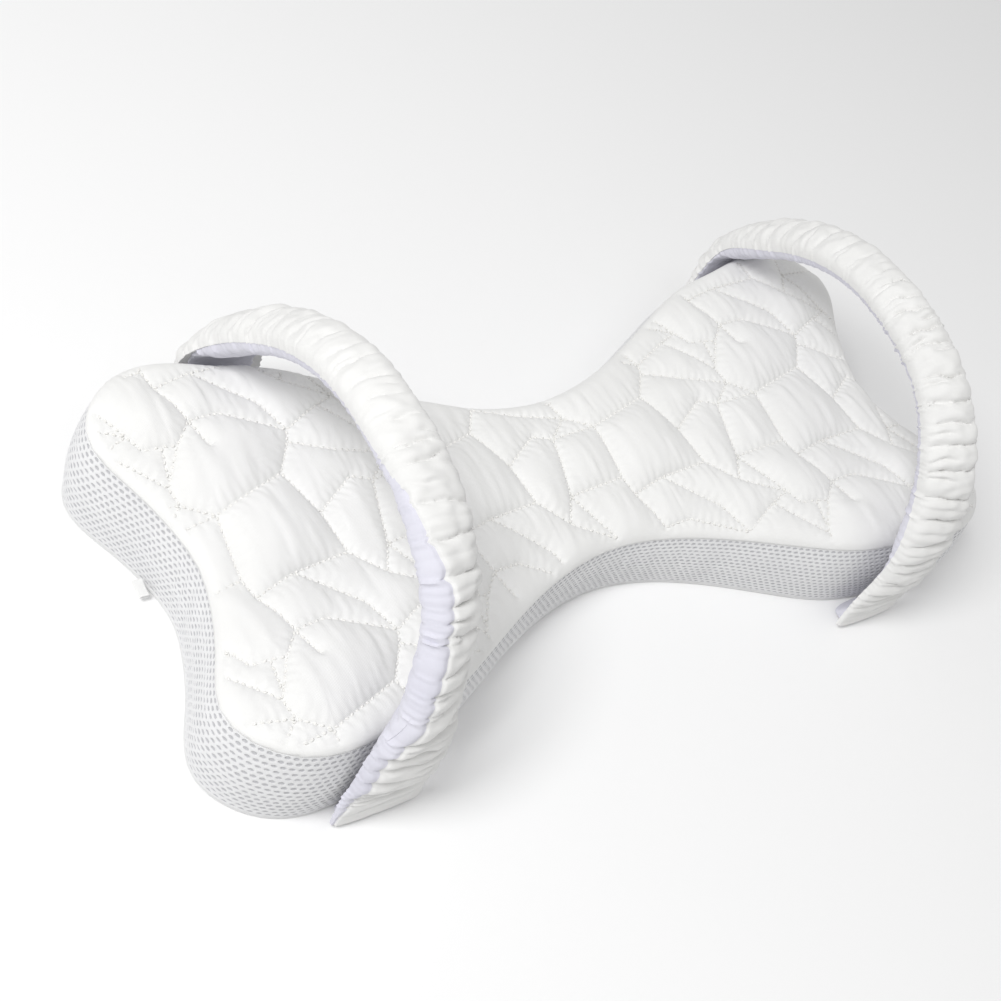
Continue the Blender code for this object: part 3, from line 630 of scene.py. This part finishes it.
bm = bmesh.new()
for first, last in kept:
    run = last - first
    size = float(np.linalg.norm(run))
    count = max(1, int(size / STITCH_PITCH))
    middles = first + (np.arange(count)[:, None] + 0.5) / count * run
    far, _, _ = nearest_edge(middles, seam_line)
    ground = face_ground(middles, far)
    keep = inside(middles, seam_line) & (far > STITCH_MARGIN)
    for number in np.nonzero(keep)[0]:
        turn = math.atan2(run[1], run[0]) + STITCH_SLANT * (1.0 if number % 2 else -1.0)
        x, y = middles[number]
        place = Matrix.Translation((x, y, ground[number] + 0.0006)) @ Matrix.Rotation(turn, 4, "Z")
        place = place @ Matrix.Diagonal((STITCH_LENGTH, THREAD, THREAD, 1.0))
        bmesh.ops.create_icosphere(bm, subdivisions=1, radius=0.5, matrix=place)
thread, _, _, _ = cloth_finish("quilting thread", (0.90, 0.895, 0.87), (0.86, 0.85, 0.82), 0.7, 0.2, 2600.0, 0.0001)
quilting_thread = finish_piece(bm, "quilting_thread", thread, sharp=180.0)


# Leg straps
# Two padded elastic bands, one over each end: a ruched quilted sleeve outside and a smooth jersey lining inside.
# The elastic draws both into cross folds, and the flat ends are sewn into the base seam on each long side.
STRAP_FOOT_HEIGHT = 0.0026
STRAP_ARCH = (
    # name, across, height
    ("near foot", -0.020, STRAP_FOOT_HEIGHT),
    ("near side", -0.011, 0.026),
    ("near edge", -0.004, 0.056),
    ("near rise", 0.020, 0.090),
    ("near bend", 0.078, 0.121),
    ("near crest", 0.180, 0.147),
    ("crest", 0.320, 0.160),
    ("far crest", 0.480, 0.161),
    ("far slope", 0.640, 0.150),
    ("far bend", 0.785, 0.127),
    ("far fall", 0.905, 0.096),
    ("far edge", 0.990, 0.062),
    ("far side", 1.008, 0.028),
    ("far foot", 1.012, STRAP_FOOT_HEIGHT),
)
STRAPS = (
    # name, near foot, far foot, lean, rise, hems, seed
    ("left", (-0.190, -0.12390), (-0.169, 0.12193), 0.005, 1.00, (0.0099, 0.0103), 11),
    ("right", (0.174, -0.12193), (0.212, 0.12455), -0.012, 0.95, (0.0114, 0.0060), 47),
)
STRAP_TURNS = {
    "left": (
        # part of the way, width, turn in degrees, stray along the pillow
        (0.00, 0.052, 0.0, 0.0000),
        (0.12, 0.046, 0.0, 0.0000),
        (0.20, 0.039, 28.0, 0.0020),
        (0.30, 0.038, 34.0, 0.0050),
        (0.40, 0.033, 15.0, 0.0030),
        (0.52, 0.029, -15.0, 0.0000),
        (0.66, 0.028, -15.0, -0.0020),
        (0.80, 0.034, -8.0, -0.0030),
        (0.90, 0.052, 0.0, -0.0010),
        (1.00, 0.056, 0.0, 0.0000),
    ),
    "right": (
        (0.00, 0.052, 0.0, 0.0000),
        (0.15, 0.041, 0.0, 0.0000),
        (0.27, 0.034, -18.0, 0.0020),
        (0.40, 0.029, -25.0, 0.0040),
        (0.55, 0.028, -25.0, 0.0020),
        (0.72, 0.030, -20.0, 0.0000),
        (0.86, 0.035, 0.0, 0.0000),
        (1.00, 0.038, 0.0, 0.0000),
    ),
}
LEAN_FROM = 0.060
LEAN_FULL_AT = 0.160
SLEEVE_HEIGHT = 0.0115
SLEEVE_END_HEIGHT = 0.0045
LINING_HEIGHT = 0.0100
LINING_END_WIDTH = 0.042
LINING_END_HEIGHT = 0.0018
LINING_SETBACK = 0.0005
SLEEVE_SWELL = (0.000, 0.050)
LINING_SWELL = (0.048, 0.034)
HEM_RUN = 0.014
STRAP_STEPS = 560
SLEEVE_POINTS = 50
LINING_POINTS = 34
WRAP_POINTS = 9
WRAP_END = 0.43


def strap_turn(name, part):
    """Width, turn and stray of a strap at a part of its way, eased between the rows of its table."""
    rows = np.array(STRAP_TURNS[name])
    after = min(int(np.searchsorted(rows[1:, 0], part)) + 1, len(rows) - 1)
    step = (part - rows[after - 1, 0]) / (rows[after, 0] - rows[after - 1, 0])
    step = step * step * (3.0 - 2.0 * step)
    return rows[after - 1, 1:] * (1.0 - step) + rows[after, 1:] * step


def strap_middle(name, near, far, lean, rise):
    """The line that a strap's middle sheet follows from its near foot to its far foot."""
    near, far = np.array(near), np.array(far)
    rows = []
    for _, across, height in STRAP_ARCH:
        flat = near + (far - near) * across
        above = max(0.0, height - LEAN_FROM)
        leaning = above * rise / (LEAN_FULL_AT - LEAN_FROM)
        rows.append((flat[0] + lean * leaning, flat[1], height - above + above * rise))
    path = smooth_curve(rows, False, STRAP_STEPS)
    path[:, 0] += [strap_turn(name, part)[2] for part in np.linspace(0.0, 1.0, len(path))]
    return path


def pleats(seed, length, pitch, end_pitch, depth):
    """Cross folds of a ruched cloth: full rolls between sharp valleys that wander, slant and fork."""
    chance = np.random.default_rng(seed)
    valleys = [-0.02]
    while valleys[-1] < length + 0.02:
        near_end = max(0.0, 1.0 - min(valleys[-1], length - valleys[-1]) / 0.075)
        step = pitch + (end_pitch - pitch) * min(1.0, near_end)
        valleys.append(valleys[-1] + step * chance.uniform(0.62, 1.5))
    valleys = np.array(valleys)
    count = len(valleys)
    slants = chance.uniform(-1.0, 1.0, count) * 0.0022
    depths = depth * chance.uniform(0.55, 1.25, count)
    forks = chance.uniform(0.25, 0.75, count)
    fork_sides = chance.choice([-1.0, 0.0, 1.0], count)

    def fold(at, angle):
        across = math.cos(angle)
        bend = 0.0034 * noise.noise(Vector((at / 0.030, 0.9 * across, seed)))
        bend += 0.0014 * noise.noise(Vector((at / 0.009, 2.2 * across, seed + 3.0)))
        number = min(max(int(np.searchsorted(valleys, at)) - 1, 0), count - 2)
        where = at + bend + slants[number] * across
        number = min(max(int(np.searchsorted(valleys, where)) - 1, 0), count - 2)
        part = (where - valleys[number]) / (valleys[number + 1] - valleys[number])
        part = min(1.0, max(0.0, part))
        size = valleys[number + 1] - valleys[number]
        full = min(1.0, size / pitch) ** 0.5
        roll = full * (1.0 - abs(2.0 * part - 1.0) ** 2.4) ** 0.6
        split = abs(part - forks[number]) * size
        open_part = min(1.0, max(0.0, fork_sides[number] * across + 0.15) * 2.0)
        roll -= 0.55 * open_part * math.exp(-((split / 0.0011) ** 2)) * full
        return depths[number] * (roll - 0.75)

    return fold


def strap_half(name, path, side, points, heights, swell_from, hems, setback, widest, folds, seam_folds,
               crinkle, wrap, title, material, cad_node):
    """One half of a padded strap, skinned ring by ring along its path, with its cross folds."""
    length = float(np.linalg.norm(np.diff(path, axis=0), axis=1).sum())
    tangents = np.gradient(path, axis=0)
    angles = np.linspace(0.0, math.pi, points)
    turned = points - WRAP_POINTS
    shelf = np.linspace(-1.0, 1.0, 8)[1:-1]
    bm = bmesh.new()
    bmesh.ops.create_circle(bm, cap_ends=False, segments=points + len(shelf), radius=1.0)
    bm.verts.ensure_lookup_table()
    cloth_place = bm.verts.layers.float_vector.new("cloth_place")
    wrapped = bm.verts.layers.int.new("wrapped")
    ring = bm.verts[:]
    edges = bm.edges[:]
    first_ring = set(ring)
    for number, (centre, tangent) in enumerate(zip(path, tangents)):
        if number:
            grown = bmesh.ops.extrude_edge_only(bm, edges=edges)
            old = set(ring)
            edges = [e for e in grown["geom"] if isinstance(e, bmesh.types.BMEdge)
                     and not any(v in old for v in e.verts)]
            above = {}
            for vert in {v for e in edges for v in e.verts}:
                below = next(e.other_vert(vert) for e in vert.link_edges if e.other_vert(vert) in old)
                above[below] = vert
            ring = [above[vert] for vert in ring]
        part = number / (len(path) - 1)
        full_width, turn, _ = strap_turn(name, part)
        turn = math.radians(turn)
        square = np.cross(np.array([1.0, 0.0, 0.0]), tangent)
        square /= np.linalg.norm(square)
        along = np.cross(tangent, square)
        along /= np.linalg.norm(along)
        out = math.cos(turn) * square + math.sin(turn) * along
        width = math.cos(turn) * along - math.sin(turn) * square
        at = length * part
        from_end = min(at, length - at)
        swell = min(1.0, max(0.0, from_end - swell_from[0]) / swell_from[1])
        swell = swell * swell * (3.0 - 2.0 * swell)
        half_width = 0.5 * min(full_width, widest) - setback
        hem = hems[0] if at < 0.5 * length else hems[1]
        thick = max(heights[0] + (heights[1] - heights[0]) * swell, hem * (1.0 - from_end / HEM_RUN))
        strength = min(1.0, 0.15 + from_end / 0.035) * (0.5 + 0.5 * min(1.0, abs(part - 0.62) / 0.22))
        puffed = strength * min(1.0, thick / 0.008)
        bluntness = 0.34 + 0.28 * min(1.0, from_end / 0.05)
        reach = 0.0
        if wrap:
            reach = wrap * min(1.0, max(0.0, (WRAP_END - part) / 0.10), 0.35 + part / 0.10)
            even = math.pi * (WRAP_POINTS - 1) / (points - 1)
            strip = max(reach, even * min(1.0, max(0.06, (part - WRAP_END) / 0.10)))
            angles = np.concatenate([np.linspace(0.0, math.pi - strip, turned + 1),
                                     np.linspace(math.pi - strip, math.pi, WRAP_POINTS)[1:]])
        places = []
        for angle in angles:
            lie = abs(math.cos(angle))
            raised = puffed * folds(at, angle) + puffed * crinkle * noise.noise(
                Vector((at / 0.0045, 2.0 * math.cos(angle), 9.0 + part)))
            edge_fold = strength * 0.55 * seam_folds(at, 0.0 if angle < 0.5 * math.pi else math.pi)
            spread = edge_fold * lie ** 4 + 0.6 * raised * lie * (1.0 - lie ** 4)
            across = math.cos(angle) * half_width + math.copysign(spread, math.cos(angle))
            crease = 0.0010 * math.exp(-(((angle - math.pi + reach) / 0.09) ** 2)) if reach > 0.1 else 0.0
            up = max(0.0, math.sin(angle)) ** bluntness * max(0.0006, thick + raised - crease)
            places.append((across + crease, up, angle))
        for step in shelf:
            places.append((step * (half_width - 0.0012), 0.0, math.pi if step < 0 else 0.0))
        for order_in_ring, (vert, (across, up, angle)) in enumerate(zip(ring, places)):
            vert.co = centre + width * across + side * out * (0.00006 + up)
            vert[wrapped] = int(bool(wrap) and part < WRAP_END and turned <= order_in_ring < points)
            vert[cloth_place] = (at, (0.5 * half_width + thick) * angle, 0.0)
    last_ring = set(ring)
    for rim in (first_ring, last_ring):
        bmesh.ops.contextual_create(bm, geom=[e for e in bm.edges if e.is_boundary
                                              and all(v in rim for v in e.verts)])
    bm.normal_update()
    bmesh.ops.recalc_face_normals(bm, faces=bm.faces[:])
    bmesh.ops.triangulate(bm, faces=[f for f in bm.faces if len(f.verts) > 4], ngon_method="EAR_CLIP")
    for face in bm.faces:
        face.material_index = int(all(v[wrapped] for v in face.verts))
    return finish_piece(bm, title, material, [cad_node], sharp=70.0)


sleeve_knit, sleeve_threads, _, _ = cloth_finish(
    "strap knit", (0.855, 0.852, 0.84), (0.81, 0.807, 0.795), 0.85, 0.2, 2100.0, 0.00014, mottle_scale=24.0)
lining_jersey, lining_threads, _, _ = cloth_finish(
    "strap jersey", (0.73, 0.725, 0.795), (0.69, 0.685, 0.765), 0.85, 0.15, 2100.0, 0.00014, mottle_scale=26.0)
for cloth, threads_node in ((sleeve_knit, sleeve_threads), (lining_jersey, lining_threads)):
    place = cloth.node_tree.nodes.new("ShaderNodeAttribute")
    place.attribute_name = "cloth_place"
    cloth.node_tree.links.new(place.outputs["Vector"], threads_node.inputs["Place"])
for name, near, far, lean, rise, hems, seed in STRAPS:
    path = strap_middle(name, near, far, lean, rise)
    length = float(np.linalg.norm(np.diff(path, axis=0), axis=1).sum())
    sleeve_folds = pleats(seed, length, 0.0120, 0.0066, 0.0054)
    lining_folds = pleats(seed + 60, length, 0.0095, 0.0050, 0.0026)
    sleeve = strap_half(name, path, 1.0, SLEEVE_POINTS, (SLEEVE_END_HEIGHT, SLEEVE_HEIGHT), SLEEVE_SWELL,
                        (0.0, 0.0), 0.0, 1.0, sleeve_folds, sleeve_folds, 0.0014,
                        0.62 if name == "left" else 0.0, name + "_sleeve", sleeve_knit,
                        name + "_strap_sleeve")
    if name == "left":
        sleeve.data.materials.append(lining_jersey)
    lining = strap_half(name, path, -1.0, LINING_POINTS, (LINING_END_HEIGHT, LINING_HEIGHT), LINING_SWELL,
                        hems, LINING_SETBACK, LINING_END_WIDTH, lining_folds, sleeve_folds, 0.0006, 0.0,
                        name + "_lining", lining_jersey, name + "_strap_lining")


# Seam tab
# A short piece of woven tape, folded in half, with both ends caught in the base seam at the left end.
# The fold stands a few millimetres out of the seam.
TAB_WIDTH = 0.011
TAB_Y = 0.021
TAB_LIFT = 0.0045
TAPE = 0.0006
TAB_PROFILE = (
    # out from the root, up
    (0.0000, 0.0004), (-0.0015, 0.0004), (-0.0030, 0.0005), (-0.0042, 0.0005), (-0.0046, 0.0000),
    (-0.0042, -0.0005), (-0.0030, -0.0005), (-0.0015, -0.0004), (0.0000, -0.0004),
)

tab_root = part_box("seam_tab")[1][0] - TAPE / 2
bm = bmesh.new()
ends = [bm.verts.new((tab_root + TAB_PROFILE[0][0], TAB_Y + side * (TAB_WIDTH - TAPE) / 2,
                      TAB_LIFT + TAB_PROFILE[0][1])) for side in (-1.0, 1.0)]
rail = [bm.edges.new(ends)]
for before, after in zip(TAB_PROFILE[:-1], TAB_PROFILE[1:]):
    grown = bmesh.ops.extrude_edge_only(bm, edges=rail)
    moved = [item for item in grown["geom"] if isinstance(item, bmesh.types.BMVert)]
    bmesh.ops.translate(bm, vec=(after[0] - before[0], 0.0, after[1] - before[1]), verts=moved)
    rail = [item for item in grown["geom"] if isinstance(item, bmesh.types.BMEdge)
            and all(v in moved for v in item.verts)]
bmesh.ops.subdivide_edges(bm, edges=bm.edges[:], cuts=2, use_grid_fill=True)
bmesh.ops.solidify(bm, geom=bm.faces[:], thickness=TAPE)
bmesh.ops.recalc_face_normals(bm, faces=bm.faces[:])
woven_tape, _, _, _ = cloth_finish("woven tape", (0.88, 0.88, 0.87), (0.82, 0.82, 0.81), 0.7, 0.2, 2400.0, 0.0002)
folded_tab = finish_piece(bm, "folded_tab", woven_tape, ["seam_tab"])


# Studio
# A plain pale floor, one large soft light from the left, a wide soft light overhead and an even surround.
# The camera looks down on the near side from the left, as in the photograph.
bm = bmesh.new()
bmesh.ops.create_grid(bm, x_segments=1, y_segments=1, size=6.0)
bmesh.ops.translate(bm, vec=(0.0, 0.0, -0.0004), verts=bm.verts[:])
floor_mesh = bpy.data.meshes.new("floor")
bm.to_mesh(floor_mesh)
bm.free()
floor = bpy.data.objects.new("floor", floor_mesh)
bpy.context.scene.collection.objects.link(floor)
pale = bpy.data.materials.new("pale floor")
pale.use_nodes = True
pale.node_tree.nodes["Principled BSDF"].inputs["Base Color"].default_value = (0.96, 0.96, 0.96, 1.0)
pale.node_tree.nodes["Principled BSDF"].inputs["Roughness"].default_value = 0.9
pale.node_tree.nodes["Principled BSDF"].inputs["Specular IOR Level"].default_value = 0.1
floor_mesh.materials.append(pale)
floor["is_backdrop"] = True

for name, place, size, power in (
    # name, place, size, power in watts
    ("key", (-1.25, -0.05, 1.70), 0.8, 24.0),
    ("overhead", (0.3, -0.5, 2.2), 1.6, 5.0),
):
    lamp = bpy.data.lights.new(name, "AREA")
    lamp.shape = "DISK"
    lamp.size = size
    lamp.energy = power
    lamp_object = bpy.data.objects.new(name, lamp)
    bpy.context.scene.collection.objects.link(lamp_object)
    lamp_object.location = place
    lamp_object.rotation_euler = (Vector((0.0, 0.0, 0.04)) - Vector(place)).to_track_quat("-Z", "Y").to_euler()
surround = bpy.data.worlds.new("surround")
surround.use_nodes = True
surround.node_tree.nodes["Background"].inputs["Color"].default_value = (1.0, 1.0, 1.0, 1.0)
surround.node_tree.nodes["Background"].inputs["Strength"].default_value = 0.46
bpy.context.scene.world = surround
bpy.context.scene.view_settings.view_transform = "Standard"

VIEW_FROM = Vector((-0.53526, -0.333862, 0.674368))
VIEW_RIGHT = Vector((0.800396, -0.481884, 0.356586))
VIEW_DOWN = Vector((-0.217511, -0.787747, -0.576319))
VIEW_AHEAD = Vector((0.558619, 0.383722, -0.735325))
camera = bpy.data.cameras.new("camera")
camera.sensor_width = 36.0
camera.lens = 55.608
camera_object = bpy.data.objects.new("camera", camera)
bpy.context.scene.collection.objects.link(camera_object)
axes = Matrix((VIEW_RIGHT, -VIEW_DOWN, -VIEW_AHEAD)).transposed()
camera_object.matrix_world = Matrix.Translation(VIEW_FROM) @ axes.to_4x4()
bpy.context.scene.camera = camera_object

low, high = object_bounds()
